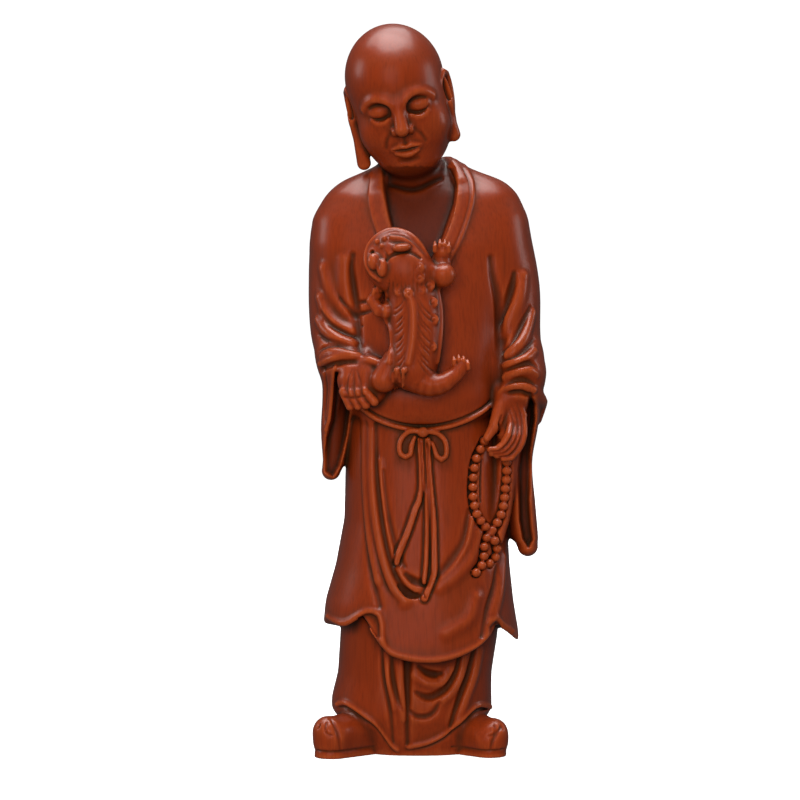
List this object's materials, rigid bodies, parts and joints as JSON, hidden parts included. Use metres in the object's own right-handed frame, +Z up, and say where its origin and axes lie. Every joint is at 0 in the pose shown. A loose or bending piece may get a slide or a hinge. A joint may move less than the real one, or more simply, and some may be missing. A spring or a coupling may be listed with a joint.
{
  "type": "carved wooden luohan figurine",
  "caption": "Standing robed monk carved in the round from one block of stained boxwood, a lion cub held to his chest and prayer beads hanging at his side.",
  "frame": {"origin": "on the surface he stands on, under the centre of the outline", "axes": "+Z up, he faces -Y, +X to the viewer's right"},
  "size_m": [0.0938, 0.0772, 0.28],
  "materials": {
    "stained_boxwood": "stained red brown, hand polished to a satin sheen, darker in the cuts"
  },
  "bodies": {
    "root": {"luohan_figure": "stained_boxwood"}
  },
  "joints": []
}
